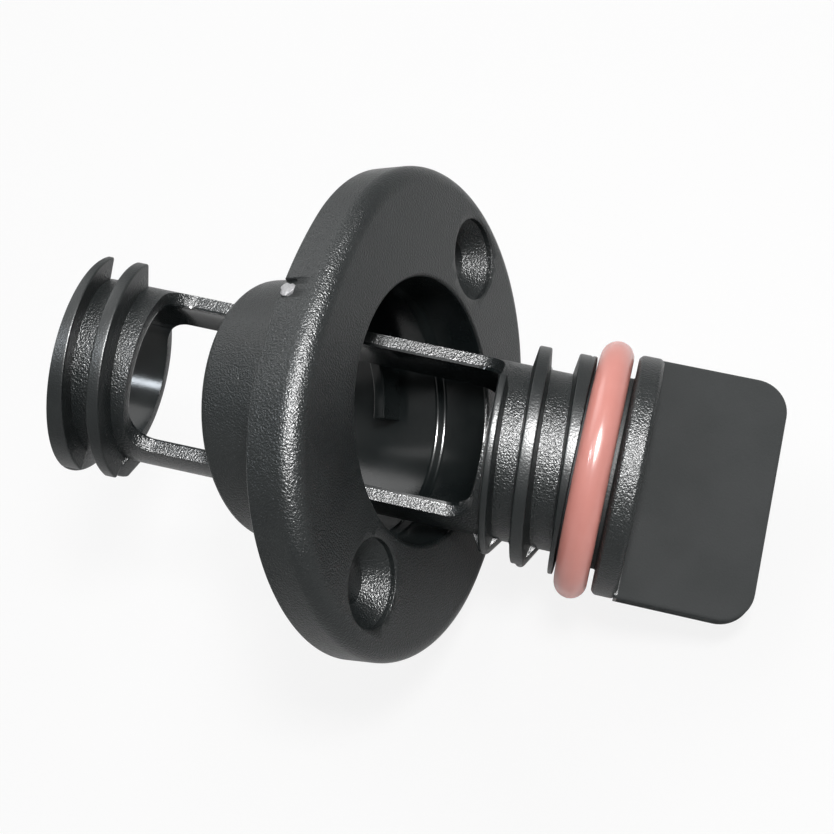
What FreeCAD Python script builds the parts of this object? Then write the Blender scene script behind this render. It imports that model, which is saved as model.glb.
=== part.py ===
import FreeCAD, Part
import math
import os
import Sketcher

# Captive drain plug: an oval flanged housing, a screw-in plug with a two-legged cage, and its O-ring.
# Row frame in millimetres: origin on the bore's axis at the rear face of the flange, +X out of the hull
# along the bore, +Z up, the two screws on +Y and -Y. The plug hangs loose out of the housing and droops.
# Inside the plug's own frame +X runs from the tail to the handle and the legs stand on +Y and -Y.

doc = FreeCAD.newDocument("drain_plug")
sizes = doc.addObject("Spreadsheet::Sheet", "sizes")

SIZE_LIST = [
    ("flange_length", 53.5, "oval flange, along the line of the two screws"),
    ("flange_width", 44.4, "oval flange, across the line of the two screws"),
    ("flange_thickness", 5.4, "flange, rear face to front face"),
    ("flange_end_radius", 21.7, "outline radius round each screw end"),
    ("flange_rim_radius", 1.95, "rounding of the front rim"),
    ("collar_diameter", 28.8, "collar that passes through the hull"),
    ("collar_length", 13.3, "collar behind the flange"),
    ("collar_edge_radius", 0.6, "rounding of the collar's rear edge"),
    ("screw_spacing", 40.0, "distance between the two screw holes"),
    ("screw_head_diameter", 9.0, "countersink at the flange's front face"),
    ("screw_head_depth", 0.7, "straight part of the countersink"),
    ("screw_hole_diameter", 4.8, "clearance hole for the screw"),
    ("mouth_diameter", 28.0, "counterbore, as deep as the flange is thick"),
    ("mouth_edge_radius", 0.5, "rounding of the mouth's rim"),
    ("bore_diameter", 26.6, "sealing bore behind the counterbore"),
    ("rib_inner_diameter", 20.8, "crest of the thread rib in the bore"),
    ("rib_crest_width", 1.4, "thread rib at its crest"),
    ("rib_root_width", 2.5, "thread rib at the bore's wall"),
    ("rib_depth", 6.9, "start of the thread rib's middle, behind the flange's rear face"),
    ("rib_turns", 0.33, "length of the thread rib in turns"),
    ("rib_start_angle", -63.0, "start of the thread rib about the bore, from +Y towards +Z"),
    ("thread_pitch", 4.0, "advance of the right-hand thread in one turn"),
    ("thread_diameter", 23.6, "crest of the body's thread and of the groove's inner wall"),
    ("tail_thread_diameter", 24.4, "crest of the tail ring's thread"),
    ("tooth_crest_width", 1.35, "thread tooth at its crest"),
    ("tooth_root_width", 2.1, "thread tooth at the core"),
    ("shoulder_crest_width", 0.5, "tooth on the far mould half at its crest"),
    ("shoulder_root_width", 3.5, "tooth on the far mould half at the core, with sloping flanks"),
    ("shoulder_lead", 0.1, "how far the far half's tooth stands ahead at its start"),
    ("core_diameter", 19.0, "tube of the plug"),
    ("tube_wall", 1.4, "wall of the plug's tube"),
    ("tail_diameter", 19.4, "outside of the tube at the tail's end, from where it narrows towards the body"),
    ("tail_length", 7.5, "tail ring that keeps the plug in the housing"),
    ("tail_tooth_offset", 3.6, "the tail's full tooth, its middle from the tail's end, at the +Y leg"),
    ("lip_width", 3.0, "end lip at its crest, before the tail's flat end trims it"),
    ("lip_lean", 0.2, "how far the lip's crest leans over its root"),
    ("tail_far_drop", 0.5, "how much lower the tail's tooth is on the far mould half"),
    ("tail_tooth_start", 27.0, "blunt start of the tail's teeth, from the +Y leg"),
    ("window_length", 37.9, "open cage between the tail ring and the body"),
    ("far_window_extra", 2.35, "how much further the far window reaches into the tail ring"),
    ("window_corner_radius", 3.0, "blend of a leg into the rings"),
    ("leg_width", 6.3, "each leg across its two flat side faces"),
    ("body_length", 8.7, "threaded body between the cage and the seal groove's inner wall"),
    ("groove_wall", 0.5, "wall between the thread and the seal groove"),
    ("body_tooth_offset", 5.25, "last full tooth's middle from the inner wall, at the +Y leg"),
    ("entry_tooth_diameter", 22.6, "crest of the body's first turn, lower so that it finds the rib"),
    ("entry_crest_width", 0.75, "crest of the body's first half turn"),
    ("entry_shift", 0.3, "how far the first half turn's middle stands ahead"),
    ("entry_start", 62.0, "blunt start of the body's thread, from the +Y leg"),
    ("run_out_start", 340.0, "start of the steep run-out that joins the inner wall, from the +Y leg"),
    ("run_out_shift", 0.35, "how far the run-out stands ahead of the thread"),
    ("far_lip_turns", 0.3, "length of the end lip on the far mould half, in turns"),
    ("groove_width", 4.6, "seal groove"),
    ("plug_collar_width", 2.4, "outer collar of the plug"),
    ("plug_collar_diameter", 25.8, "outer collar of the plug"),
    ("plug_collar_edge", 0.4, "bevel of the outer collar's rims"),
    ("end_wall", 3.4, "solid wall that closes the plug's tube"),
    ("handle_length", 13.6, "flat handle beyond the collar"),
    ("handle_root", 0.3, "how far the handle's full width reaches into the collar"),
    ("handle_width", 26.3, "flat handle across"),
    ("handle_thickness", 2.8, "flat handle"),
    ("handle_corner_radius", 3.5, "corners of the handle"),
    ("handle_edge_radius", 0.4, "rounding of the handle's edges"),
    ("seal_section", 3.53, "thickness of the O-ring"),
    ("seal_inner_diameter", 20.7, "inside of the O-ring, slightly stretched on its groove"),
    ("seal_clearance", 0.06, "gap between the O-ring and the groove's floor"),
    ("seal_offset", 4.95, "middle of the O-ring behind the collar's outer face"),
    ("droop_angle", 23.8, "how far the loose plug hangs out of line with the bore"),
    ("pivot_depth", 7.82, "crossing of the two axes, behind the flange's rear face"),
    ("sideways_rest", 0.17, "how far the loose plug lies off the bore's axis towards -Y"),
    ("plug_reach", 35.2, "crossing of the axes to the outer face of the plug's collar"),
    ("plug_roll", 12.8, "turn of legs and handle about the plug's axis, from +Y towards +Z"),
    ("plug_sidestep", 1.2, "how far the loose plug points sideways, from +X towards +Y"),
]

for row, (alias, value, note) in enumerate(SIZE_LIST, start=1):
    sizes.set("A%d" % row, note)
    sizes.set("B%d" % row, str(value))
    sizes.setAlias("B%d" % row, alias)
doc.recompute()


def read(expression):
    """The present value of an expression of the sheet's cells."""
    result = sizes.evalExpression(expression.replace("sizes.", ""))
    return float(getattr(result, "Value", result))


def origin_part(body, role):
    """The origin plane or axis of a body that has the given role."""
    return next(item for item in body.Origin.OriginFeatures if item.Role == role)


def new_body(label):
    """A named body for one piece of the drain plug."""
    body = doc.addObject("PartDesign::Body", label)
    body.Label = label
    return body


def new_sketch(body, name, role, turn=None):
    """An empty sketch on an origin plane of the body, turned about X by an expression in degrees."""
    sketch = body.newObject("Sketcher::SketchObject", name)
    sketch.AttachmentSupport = [(origin_part(body, role), "")]
    sketch.MapMode = "FlatFace"
    if turn is not None:
        turned = FreeCAD.Rotation(FreeCAD.Vector(1, 0, 0), read(turn))
        sketch.AttachmentOffset = FreeCAD.Placement(FreeCAD.Vector(0, 0, 0), turned)
        sketch.setExpression("AttachmentOffset.Rotation.Angle", turn)
    return sketch


def drive(sketch, constraint, expression):
    """Adds a constraint whose value follows an expression of the sheet's cells."""
    index = sketch.addConstraint(constraint)
    sketch.setExpression("Constraints[%d]" % index, expression)


def place_point(sketch, geometry, point, across, along):
    """Holds a point of the sketch at a place given by two expressions."""
    drive(sketch, Sketcher.Constraint("DistanceX", geometry, point, read(across)), across)
    drive(sketch, Sketcher.Constraint("DistanceY", geometry, point, read(along)), along)


def add_outline(sketch, corners):
    """Adds a closed polygon whose corners are pairs of expressions of the sheet's cells."""
    first = sketch.GeometryCount
    count = len(corners)
    places = [FreeCAD.Vector(read(across), read(along), 0) for across, along in corners]
    for index in range(count):
        sketch.addGeometry(Part.LineSegment(places[index], places[(index + 1) % count]), False)
    for index in range(count):
        following = first + (index + 1) % count
        sketch.addConstraint(Sketcher.Constraint("Coincident", first + index, 2, following, 1))
    for index, (across, along) in enumerate(corners):
        place_point(sketch, first + index, 1, across, along)


def add_circle(sketch, across, along, radius):
    """Adds a circle whose centre and radius are expressions of the sheet's cells."""
    centre = FreeCAD.Vector(read(across), read(along), 0)
    index = sketch.addGeometry(Part.Circle(centre, FreeCAD.Vector(0, 0, 1), read(radius)), False)
    place_point(sketch, index, 3, across, along)
    drive(sketch, Sketcher.Constraint("Radius", index, read(radius)), radius)


def add_feature(body, kind, name, sketch, formulas=None, **settings):
    """Adds a feature made from a sketch; formulas holds settings that follow the sheet's cells."""
    feature = body.newObject("PartDesign::" + kind, name)
    feature.Profile = sketch
    for key, value in settings.items():
        setattr(feature, key, value)
    for key, formula in (formulas or {}).items():
        feature.setExpression(key, formula)
    doc.recompute()
    return feature


def round_edges(body, name, radius, wanted):
    """Rounds those edges of the body's last feature for which wanted(edge) holds."""
    base = body.Tip
    names = ["Edge%d" % (index + 1) for index, edge in enumerate(base.Shape.Edges) if wanted(edge)]
    feature = body.newObject("PartDesign::Fillet", name)
    feature.Base = (base, names)
    feature.setExpression("Radius", radius)
    doc.recompute()
    return feature


def at_place(edge, along, radius=None):
    """Whether an edge lies in the plane X = along, at the given distance from the X axis if one is set."""
    points = edge.discretize(9)
    if any(abs(point.x - along) > 0.01 for point in points):
        return False
    return radius is None or all(abs(math.hypot(point.y, point.z) - radius) < 0.01 for point in points)


def add_tooth(body, name, turn, middle, root_width, crest_width, root_radius, crest_radius, turns):
    """Sweeps a thread tooth round the X axis as a right-hand helix from the angle turn.

    All values are expressions; middle is the place of the tooth's middle along X at its start.
    """
    sketch = new_sketch(body, name + "_section", "XY_Plane", turn)
    corners = [
        ("%s - %s / 2" % (middle, root_width), root_radius),
        ("%s + %s / 2" % (middle, root_width), root_radius),
        ("%s + %s / 2" % (middle, crest_width), crest_radius),
        ("%s - %s / 2" % (middle, crest_width), crest_radius),
    ]
    add_outline(sketch, corners)
    doc.recompute()
    formulas = {"Pitch": "sizes.thread_pitch", "Turns": turns}
    axis = (sketch, ["H_Axis"])
    return add_feature(body, "AdditiveHelix", name, sketch, formulas, ReferenceAxis=axis, Mode="pitch-turns-angle")


# Housing: oval flange, collar through the hull, stepped bore with the thread rib.
housing = new_body("housing")
outline = new_sketch(housing, "flange_outline", "YZ_Plane")
end_reach = "(sizes.flange_length / 2 - sizes.flange_end_radius)"
side_radius = (
    "((sizes.flange_length ^ 2 + sizes.flange_width ^ 2) / 4 - sizes.flange_length * sizes.flange_end_radius)"
    " / (sizes.flange_width - 2 * sizes.flange_end_radius)"
)
side_drop = read(side_radius) - read("sizes.flange_width") / 2
join_angle = math.atan2(side_drop, read(end_reach))
normal = FreeCAD.Vector(0, 0, 1)
for index, (across, along, radius, start) in enumerate([
    (read(end_reach), 0, read("sizes.flange_end_radius"), -join_angle),
    (0, -side_drop, read(side_radius), join_angle),
    (-read(end_reach), 0, read("sizes.flange_end_radius"), math.pi - join_angle),
    (0, side_drop, read(side_radius), math.pi + join_angle),
]):
    sweep = 2 * join_angle if index % 2 == 0 else math.pi - 2 * join_angle
    circle = Part.Circle(FreeCAD.Vector(across, along, 0), normal, radius)
    outline.addGeometry(Part.ArcOfCircle(circle, start, start + sweep), False)
for index in range(4):
    outline.addConstraint(Sketcher.Constraint("Tangent", index, 2, (index + 1) % 4, 1))
for index, sign in ((0, ""), (2, "-")):
    place_point(outline, index, 3, sign + end_reach, "0 * sizes.flange_length")
    drive(outline, Sketcher.Constraint("Radius", index, read("sizes.flange_end_radius")), "sizes.flange_end_radius")
for index in (1, 3):
    drive(outline, Sketcher.Constraint("Radius", index, read(side_radius)), side_radius)
flange = add_feature(housing, "Pad", "flange", outline, {"Length": "sizes.flange_thickness"})
front = read("sizes.flange_thickness")
round_edges(housing, "front_rim", "sizes.flange_rim_radius", lambda edge: at_place(edge, front))

collar_sketch = new_sketch(housing, "collar_outline", "YZ_Plane")
add_circle(collar_sketch, "0 * sizes.collar_diameter", "0 * sizes.collar_diameter", "sizes.collar_diameter / 2")
add_feature(housing, "Pad", "collar", collar_sketch, {"Length": "sizes.collar_length"}, Reversed=True)
rear = -read("sizes.collar_length")
round_edges(housing, "collar_edge", "sizes.collar_edge_radius", lambda edge: at_place(edge, rear))

step = "(sizes.mouth_diameter - sizes.bore_diameter) / 2"
bore_sketch = new_sketch(housing, "bore_profile", "XY_Plane")
add_outline(bore_sketch, [
    ("-sizes.collar_length - 1", "0 * sizes.bore_diameter"),
    ("sizes.flange_thickness + 1", "0 * sizes.bore_diameter"),
    ("sizes.flange_thickness + 1", "sizes.mouth_diameter / 2"),
    ("0 * sizes.mouth_diameter", "sizes.mouth_diameter / 2"),
    ("-" + step, "sizes.bore_diameter / 2"),
    ("-sizes.collar_length - 1", "sizes.bore_diameter / 2"),
])
add_feature(housing, "Groove", "bore", bore_sketch, ReferenceAxis=(bore_sketch, ["H_Axis"]), Angle=360)
mouth_radius = read("sizes.mouth_diameter / 2")
round_edges(housing, "mouth_rim", "sizes.mouth_edge_radius", lambda edge: at_place(edge, front, mouth_radius))

# The screw holes: a cone with a short straight part for the screw's head.
hole_sketch = new_sketch(housing, "screw_hole_profile", "XY_Plane")
head_floor = "sizes.flange_thickness - sizes.screw_head_depth"
cone_foot = "(%s - (sizes.screw_head_diameter - sizes.screw_hole_diameter) / 2)" % head_floor
add_outline(hole_sketch, [
    ("0 * sizes.screw_spacing - 1", "sizes.screw_spacing / 2"),
    ("sizes.flange_thickness + 1", "sizes.screw_spacing / 2"),
    ("sizes.flange_thickness + 1", "(sizes.screw_spacing + sizes.screw_head_diameter) / 2"),
    (head_floor, "(sizes.screw_spacing + sizes.screw_head_diameter) / 2"),
    (cone_foot, "(sizes.screw_spacing + sizes.screw_hole_diameter) / 2"),
    ("0 * sizes.screw_spacing - 1", "(sizes.screw_spacing + sizes.screw_hole_diameter) / 2"),
])
hole = add_feature(housing, "Groove", "screw_hole", hole_sketch, ReferenceAxis=(hole_sketch, ["Edge1"]), Angle=360)
holes = housing.newObject("PartDesign::PolarPattern", "screw_holes")
holes.Originals = [hole]
holes.Axis = (origin_part(housing, "X_Axis"), [""])
holes.Angle = 360
holes.Occurrences = 2
housing.Tip = holes
doc.recompute()

add_tooth(
    housing, "thread_rib", "sizes.rib_start_angle", "-sizes.rib_depth",
    "sizes.rib_root_width", "sizes.rib_crest_width",
    "(sizes.bore_diameter + sizes.collar_diameter) / 4", "sizes.rib_inner_diameter / 2", "sizes.rib_turns",
)

# Plug: tail ring, two legs, threaded body, seal groove, collar and flat handle in one moulding.
plug = new_body("plug")
groove_end = "-sizes.plug_collar_width - sizes.groove_width"
wall_end = groove_end + " - sizes.groove_wall"
window_front = wall_end + " - sizes.body_length"
window_rear = window_front + " - sizes.window_length"
tail_end = window_rear + " - sizes.tail_length"
inside = "(sizes.core_diameter / 2 - sizes.tube_wall)"
tail_inside = "(sizes.tail_diameter / 2 - sizes.tube_wall)"
rim_foot = "sizes.plug_collar_diameter / 2 - sizes.plug_collar_edge"
floor = "(sizes.seal_inner_diameter / 2 - sizes.seal_clearance)"
handle_outline = new_sketch(plug, "handle_outline", "XY_Plane")
add_outline(handle_outline, [
    ("-sizes.handle_root", "-sizes.handle_width / 2"),
    ("sizes.handle_length", "-sizes.handle_width / 2"),
    ("sizes.handle_length", "sizes.handle_width / 2"),
    ("-sizes.handle_root", "sizes.handle_width / 2"),
])
handle_settings = {"Length": "sizes.handle_thickness"}
add_feature(plug, "Pad", "handle", handle_outline, handle_settings, Midplane=True)


def handle_corner(edge):
    """Whether an edge is one of the handle's two outer corners."""
    first, last = edge.Vertexes[0].Point, edge.Vertexes[-1].Point
    outer = abs(first.x - read("sizes.handle_length")) < 0.01 and abs(last.x - first.x) < 0.01
    return outer and abs(first.y - last.y) < 0.01


round_edges(plug, "handle_corners", "sizes.handle_corner_radius", handle_corner)


def handle_face_edge(edge):
    """Whether an edge bounds one of the handle's two flat faces and stands outside the collar."""
    points = edge.discretize(5)
    level = all(abs(abs(point.z) - read("sizes.handle_thickness / 2")) < 0.01 for point in points)
    return level and max(point.x for point in points) > 0


round_edges(plug, "handle_edges", "sizes.handle_edge_radius", handle_face_edge)

profile = new_sketch(plug, "turned_profile", "XY_Plane")
add_outline(profile, [
    (tail_end, tail_inside),
    ("-sizes.end_wall", inside),
    ("-sizes.end_wall", "0 * sizes.end_wall"),
    ("0 * sizes.end_wall", "0 * sizes.end_wall"),
    ("0 * sizes.end_wall", rim_foot),
    ("-sizes.plug_collar_edge", "sizes.plug_collar_diameter / 2"),
    ("-sizes.plug_collar_width + sizes.plug_collar_edge", "sizes.plug_collar_diameter / 2"),
    ("-sizes.plug_collar_width", rim_foot),
    ("-sizes.plug_collar_width", "sizes.thread_diameter / 2"),
    (wall_end, "sizes.thread_diameter / 2"),
    (wall_end, "sizes.core_diameter / 2"),
    (tail_end, "sizes.tail_diameter / 2"),
])
add_feature(plug, "Revolution", "turned_form", profile, ReferenceAxis=(profile, ["H_Axis"]), Angle=360)

# The two teeth of a turn differ: steep flanks on the near mould half, sloping ones on the far half.
core = "(sizes.core_diameter / 2 - sizes.tube_wall / 4)"
tail_crest = "sizes.tail_thread_diameter / 2"
tail_far_crest = tail_crest + " - sizes.tail_far_drop"
body_crest = "sizes.thread_diameter / 2"
start = "sizes.tail_tooth_start"
near_turns = "(180 - %s) / 360" % start
far_turns = "(sizes.run_out_start - 180) / 360"
tail_tooth = tail_end + " + sizes.tail_tooth_offset"
tail_start = tail_tooth + " + sizes.thread_pitch * %s / 360" % start
body_tooth = wall_end + " - sizes.body_tooth_offset"
entry_crest = "sizes.entry_tooth_diameter / 2"
entry_tooth = body_tooth + " + sizes.entry_shift - sizes.thread_pitch * (360 - sizes.entry_start) / 360"
entry_turns = "(180 - sizes.entry_start) / 360"
run_out = body_tooth + " + sizes.run_out_shift + sizes.thread_pitch * sizes.run_out_start / 360"
steep = ("sizes.tooth_root_width", "sizes.tooth_crest_width")
entry = ("(sizes.tooth_root_width - 2 * sizes.entry_shift)", "sizes.entry_crest_width")
sloping = ("sizes.shoulder_root_width", "sizes.shoulder_crest_width")
lip = ("(sizes.lip_width - 2 * sizes.lip_lean)", "sizes.lip_width")
lip_shift = " - sizes.thread_pitch - (sizes.lip_width - sizes.tooth_crest_width) / 2"
half_pitch = " + sizes.thread_pitch / 2"
ahead = " + sizes.shoulder_lead"
for name, turn, middle, widths, crest, turns in [
    ("tail_lip_near", start, tail_start + lip_shift, lip, tail_crest, near_turns),
    ("tail_lip_far", "180", tail_end, sloping, tail_crest, "sizes.far_lip_turns"),
    ("tail_tooth_near", start, tail_start, steep, tail_crest, near_turns),
    ("tail_tooth_far", "180", tail_tooth + half_pitch, sloping, tail_far_crest, "0.1"),
    ("body_tooth_near_1", "sizes.entry_start", entry_tooth, entry, entry_crest, entry_turns),
    ("body_tooth_far_1", "180", body_tooth + " - sizes.thread_pitch / 2" + ahead, sloping, entry_crest, "0.5"),
    ("body_tooth_near_2", "0", body_tooth, steep, body_crest, "0.5"),
    ("body_tooth_far_2", "180", body_tooth + half_pitch + ahead, sloping, body_crest, far_turns),
    ("body_run_out", "sizes.run_out_start", run_out, steep, body_crest, "(540 - sizes.run_out_start) / 360"),
]:
    add_tooth(plug, name, turn, middle, widths[0], widths[1], core, crest, turns)

# The tail's flat end trims the lip.
end_trim = new_sketch(plug, "end_trim_profile", "XY_Plane")
add_outline(end_trim, [
    (tail_end + " - sizes.thread_pitch", "0 * sizes.thread_pitch"),
    (tail_end, "0 * sizes.thread_pitch"),
    (tail_end, "sizes.tail_thread_diameter"),
    (tail_end + " - sizes.thread_pitch", "sizes.tail_thread_diameter"),
])
add_feature(plug, "Groove", "end_trim", end_trim, ReferenceAxis=(end_trim, ["H_Axis"]), Angle=360)

# The seal groove also trims the thread's run-out, so that its inner wall starts as the thread's last turn.
seal_groove = new_sketch(plug, "seal_groove_profile", "XY_Plane")
add_outline(seal_groove, [
    (groove_end, floor),
    ("-sizes.plug_collar_width", floor),
    ("-sizes.plug_collar_width", "sizes.plug_collar_diameter"),
    (groove_end, "sizes.plug_collar_diameter"),
])
add_feature(plug, "Groove", "seal_groove", seal_groove, ReferenceAxis=(seal_groove, ["H_Axis"]), Angle=360)

# The windows of the cage: what is left between them are the two legs.
leg_face = "sizes.leg_width / 2"
blend = "sizes.window_corner_radius"
outside = "sizes.core_diameter"


def add_window(name, turn, window_end):
    """Cuts one window of the cage from window_end to the body, on the side that faces the angle turn."""
    window = new_sketch(plug, name + "_outline", "XZ_Plane", turn)
    front_centre = (read(window_front + " - " + blend), read(leg_face + " + " + blend))
    rear_centre = (read(window_end + " + " + blend), front_centre[1])
    corner = read(blend)
    ends = [
        FreeCAD.Vector(rear_centre[0], read(leg_face), 0),
        FreeCAD.Vector(front_centre[0], read(leg_face), 0),
        FreeCAD.Vector(read(window_front), front_centre[1], 0),
        FreeCAD.Vector(read(window_front), read(outside), 0),
        FreeCAD.Vector(read(window_end), read(outside), 0),
        FreeCAD.Vector(read(window_end), rear_centre[1], 0),
    ]
    front_circle = Part.Circle(FreeCAD.Vector(front_centre[0], front_centre[1], 0), normal, corner)
    rear_circle = Part.Circle(FreeCAD.Vector(rear_centre[0], rear_centre[1], 0), normal, corner)
    for item in (
        Part.LineSegment(ends[0], ends[1]),
        Part.ArcOfCircle(front_circle, -math.pi / 2, 0),
        Part.LineSegment(ends[2], ends[3]),
        Part.LineSegment(ends[3], ends[4]),
        Part.LineSegment(ends[4], ends[5]),
        Part.ArcOfCircle(rear_circle, math.pi, 3 * math.pi / 2),
    ):
        window.addGeometry(item, False)
    for first, first_end, second, second_end in ((0, 2, 1, 1), (1, 2, 2, 1), (4, 2, 5, 1), (5, 2, 0, 1)):
        window.addConstraint(Sketcher.Constraint("Tangent", first, first_end, second, second_end))
    window.addConstraint(Sketcher.Constraint("Coincident", 2, 2, 3, 1))
    window.addConstraint(Sketcher.Constraint("Coincident", 3, 2, 4, 1))
    for arc, across in ((1, window_front + " - " + blend), (5, window_end + " + " + blend)):
        place_point(window, arc, 3, across, leg_face + " + " + blend)
        drive(window, Sketcher.Constraint("Radius", arc, corner), blend)
    for line in (3, 4):
        drive(window, Sketcher.Constraint("DistanceY", line, 1, read(outside)), outside)
    add_feature(plug, "Pocket", name, window, Type="ThroughAll", Midplane=True)


add_window("near_window", "0", window_rear)
add_window("far_window", "180", window_rear + " - sizes.far_window_extra")

# O-ring: lies in the seal groove, round the same axis.
o_ring = new_body("o_ring")
section = new_sketch(o_ring, "seal_section", "XY_Plane")
mean_radius = "(sizes.seal_inner_diameter + sizes.seal_section) / 2"
add_circle(section, "-sizes.seal_offset", mean_radius, "sizes.seal_section / 2")
add_feature(o_ring, "Revolution", "ring", section, ReferenceAxis=(section, ["H_Axis"]), Angle=360)

# The plug and its seal hang askew out of the housing.
aside = FreeCAD.Rotation(FreeCAD.Vector(0, 0, 1), read("sizes.plug_sidestep"))
droop = FreeCAD.Rotation(FreeCAD.Vector(0, 1, 0), read("sizes.droop_angle"))
roll = FreeCAD.Rotation(FreeCAD.Vector(1, 0, 0), read("sizes.plug_roll"))
hang = aside.multiply(droop).multiply(roll)
crossing = FreeCAD.Vector(-read("sizes.pivot_depth"), -read("sizes.sideways_rest"), 0)
reach = hang.multVec(FreeCAD.Vector(read("sizes.plug_reach"), 0, 0))
for body in (plug, o_ring):
    body.Placement = FreeCAD.Placement(crossing + reach, hang)
doc.recompute()

for item in doc.Objects:
    if "Invalid" in item.State or "Error" in item.State:
        raise RuntimeError("%s can't be built: %s" % (item.Name, item.State))

os.makedirs("parts", exist_ok=True)
for body in (housing, plug, o_ring):
    shape = body.Shape
    if shape.isNull() or not shape.isValid() or len(shape.Solids) != 1:
        raise RuntimeError("%s isn't one sound solid" % body.Label)
    print("%s: %.1f mm3, %d faces" % (body.Label, shape.Volume, len(shape.Faces)))
    shape.exportStep("parts/%s.step" % body.Label)
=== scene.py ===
"""Looks of a captive drain plug: a flanged housing, a screw-in plug with a cage, and its seal.

Sizes are in millimetres in the classes, and metres once they reach a mesh. The housing stands in
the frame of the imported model: +X out of the hull along the bore, +Y along the two screws, +Z up.
The plug and its seal are worked out about the plug's own axis (station along it, angle round it
from the leg on +Y towards +Z, the camera's side) and then laid where the loose plug hangs.
"""

import logging
import math
from dataclasses import dataclass, field
from enum import Enum

import bmesh
import bpy
import numpy as np
from mathutils import Matrix, Vector


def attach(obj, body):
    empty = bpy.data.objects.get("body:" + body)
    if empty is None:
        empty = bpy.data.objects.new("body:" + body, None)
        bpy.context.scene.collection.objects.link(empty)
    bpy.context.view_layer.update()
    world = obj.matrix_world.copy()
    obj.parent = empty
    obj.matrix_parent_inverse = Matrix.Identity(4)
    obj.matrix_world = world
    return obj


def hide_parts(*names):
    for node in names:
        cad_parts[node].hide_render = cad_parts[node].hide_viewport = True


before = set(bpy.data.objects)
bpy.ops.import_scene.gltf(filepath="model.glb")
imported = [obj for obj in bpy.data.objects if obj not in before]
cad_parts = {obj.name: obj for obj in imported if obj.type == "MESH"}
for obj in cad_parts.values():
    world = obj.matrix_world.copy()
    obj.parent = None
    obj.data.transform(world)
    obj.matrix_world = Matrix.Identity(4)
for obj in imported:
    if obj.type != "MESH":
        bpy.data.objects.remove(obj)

MILLIMETRE = 0.001
PICTURE_SIDE = 834
HALF_TURN = 180.0
FULL_TURN = 360.0
MERGE_DISTANCE = 1e-7  # metres, under which points are one
CREASE = 38.0          # degrees, past which an edge stays sharp
TOOL_REACH = 1.0       # how far a cutting tool reaches past the face that it cuts
BEYOND = 60.0          # further out than any piece reaches
LOG = logging.getLogger("drain_plug")

Span = tuple[float, float]
Place = tuple[float, float, float]
Colour = tuple[float, float, float, float]
Piece = bpy.types.Object
Material = bpy.types.Material
Node = bpy.types.Node
Socket = bpy.types.NodeSocket


class MouldHalf(Enum):
    """The half of the plug's mould that forms a tooth, with the tooth's root and crest width.

    The near half leaves steep flanks and a flat crest; the far one slopes, so that it draws off.
    """

    NEAR = (2.1, 1.35)
    FAR = (3.5, 0.5)


class ToolFinish(Enum):
    """How a region of the mould was finished: the grain's strength there, and the roughness."""

    POLISHED = (0.05, 0.16)
    FINE = (0.34, 0.34)
    SATIN = (0.6, 0.62)
    MATT = (0.55, 0.94)


class Slot(Enum):
    """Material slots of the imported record."""

    PLASTIC = "black_plastic"
    RUBBER = "salmon_rubber"


# Surfaces


@dataclass(frozen=True)
class Axes:
    """Where a piece's own axes lie in the row frame: their crossing, and turns in degrees."""

    crossing: Place = (0.0, 0.0, 0.0)
    roll: float = 0.0
    droop: float = 0.0
    sidestep: float = 0.0

    @property
    def angles(self) -> Place:
        """The turns about X, Y and Z in radians."""
        return math.radians(self.roll), math.radians(self.droop), math.radians(self.sidestep)

    def to_row(self, points: np.ndarray) -> np.ndarray:
        """Turns points by roll, then droop, then sidestep, and moves them to the crossing.

        Args:
            points: Points of shape (count, 3) on the piece's own axes.

        Returns:
            The points in the row frame.
        """
        roll, droop, sidestep = self.angles
        upright = Matrix.Rotation(sidestep, 3, "Z") @ Matrix.Rotation(droop, 3, "Y")
        turn = upright @ Matrix.Rotation(roll, 3, "X")
        return points @ np.array(turn).T + np.array(self.crossing)


@dataclass
class Shell:
    """A closed surface: points, quads by index, and flat caps as loops of indices."""

    points: np.ndarray
    quads: np.ndarray
    caps: list[list[int]] = field(default_factory=list)

    def moved(self, axes: Axes) -> "Shell":
        """The same surface laid from a piece's own axes into the row frame."""
        return Shell(axes.to_row(self.points), self.quads, self.caps)


def points_of(*coordinates: np.ndarray) -> np.ndarray:
    """Points from one array for each coordinate, once these are spread to the same shape."""
    return np.stack(np.broadcast_arrays(*coordinates), axis=-1)


def full_circle(count: int) -> np.ndarray:
    """Angles of a full turn in radians, in equal steps, without the last that meets the first."""
    return np.linspace(0.0, 2 * math.pi, count, endpoint=False)


def quarter_turn(count: int) -> np.ndarray:
    """Angles from nothing to a quarter turn in radians, in equal steps."""
    return np.linspace(0.0, math.pi / 2, count)


def about_axis(station: np.ndarray, radius: np.ndarray, angle: np.ndarray) -> np.ndarray:
    """Points at (station, radius cos angle, radius sin angle) round the station axis."""
    return points_of(station, radius * np.cos(angle), radius * np.sin(angle))


def grid_quads(rows: int, columns: int, rows_closed: bool) -> np.ndarray:
    """Quads of a grid of points whose columns close round the piece.

    Point (row, column) has the index row columns + column, and each quad goes from it to the next
    column, the next row and back.

    Args:
        rows: Number of rows of points.
        columns: Number of points in a row; the last joins the first.
        rows_closed: Whether the last row joins the first.

    Returns:
        An array of four point indices per quad.
    """
    here = np.arange(rows * columns).reshape(rows, columns)
    beside = np.roll(here, -1, axis=1)
    corners = [here, beside, np.roll(beside, -1, axis=0), np.roll(here, -1, axis=0)]
    strips = rows if rows_closed else rows - 1
    return np.stack(corners, axis=-1)[:strips].reshape(-1, 4)


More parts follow.
